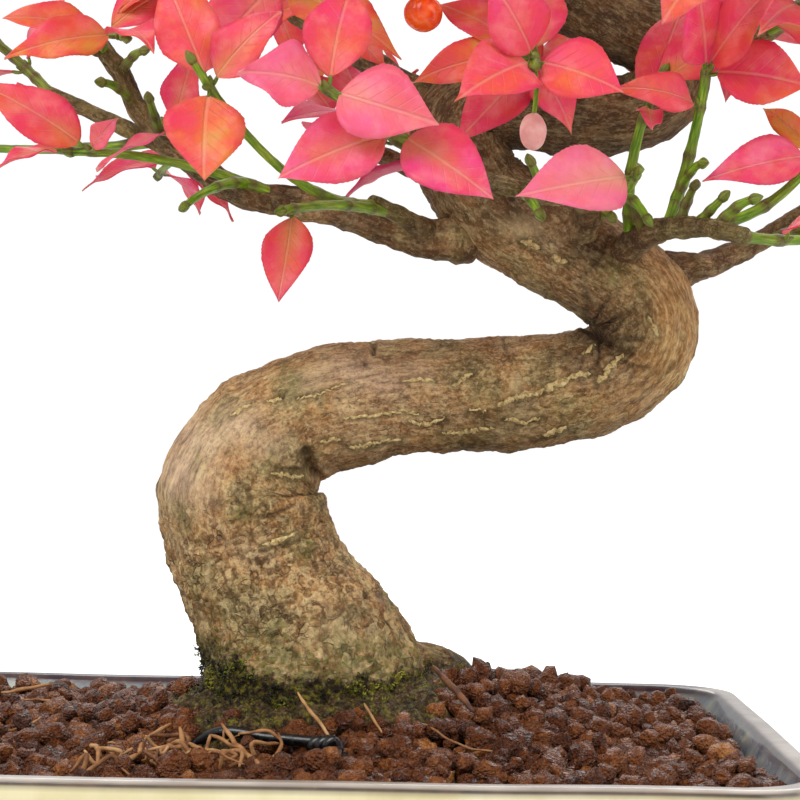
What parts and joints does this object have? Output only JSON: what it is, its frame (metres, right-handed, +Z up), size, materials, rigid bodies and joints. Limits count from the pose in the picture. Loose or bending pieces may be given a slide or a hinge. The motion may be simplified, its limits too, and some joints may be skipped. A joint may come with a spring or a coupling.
{
  "type": "bonsai tree in a tray",
  "caption": "Miniature deciduous tree with a thick trunk bent to and fro, leafy autumn shoots and small fruits, growing in granular soil in a footed rectangular glazed tray.",
  "frame": {"origin": "on the table, under the middle of the whole tree and tray", "axes": "+Z up, +Y from the front of the tree to its back, +X to the right seen from the front"},
  "size_m": [0.2616, 0.1753, 0.311],
  "materials": {
    "glaze": "gloss",
    "mesh_plastic": "matte",
    "wire": "satin",
    "soil": "matte",
    "bark": "matte",
    "leaf": "satin"
  },
  "bodies": {
    "root": {"pot": "glaze", "drain_mesh_left": "mesh_plastic", "drain_mesh_right": "mesh_plastic", "anchor_wire": "wire", "soil": "soil", "trunk": "bark", "spray_01": "leaf", "spray_02": "leaf", "spray_03": "leaf", "spray_04": "leaf", "spray_05": "leaf", "spray_06": "leaf", "spray_07": "leaf", "spray_08": "leaf", "spray_09": "leaf", "spray_10": "leaf", "spray_11": "leaf", "spray_12": "leaf", "spray_13": "leaf", "spray_14": "leaf", "spray_15": "leaf", "spray_16": "leaf", "spray_17": "leaf", "spray_18": "leaf", "spray_19": "leaf", "spray_20": "leaf", "spray_21": "leaf", "spray_22": "leaf", "spray_23": "leaf", "spray_24": "leaf", "spray_25": "leaf", "spray_26": "leaf", "spray_27": "leaf", "spray_28": "leaf", "spray_29": "leaf", "spray_30": "leaf", "spray_31": "leaf", "spray_32": "leaf", "spray_33": "leaf", "spray_34": "leaf", "spray_35": "leaf", "spray_36": "leaf", "spray_37": "leaf", "spray_38": "leaf", "spray_39": "leaf", "spray_40": "leaf", "spray_41": "leaf", "spray_42": "leaf", "spray_43": "leaf", "spray_44": "leaf", "spray_45": "leaf", "spray_46": "leaf", "spray_47": "leaf", "spray_48": "leaf", "spray_49": "leaf", "spray_50": "leaf", "spray_51": "leaf", "spray_52": "leaf"}
  },
  "joints": []
}
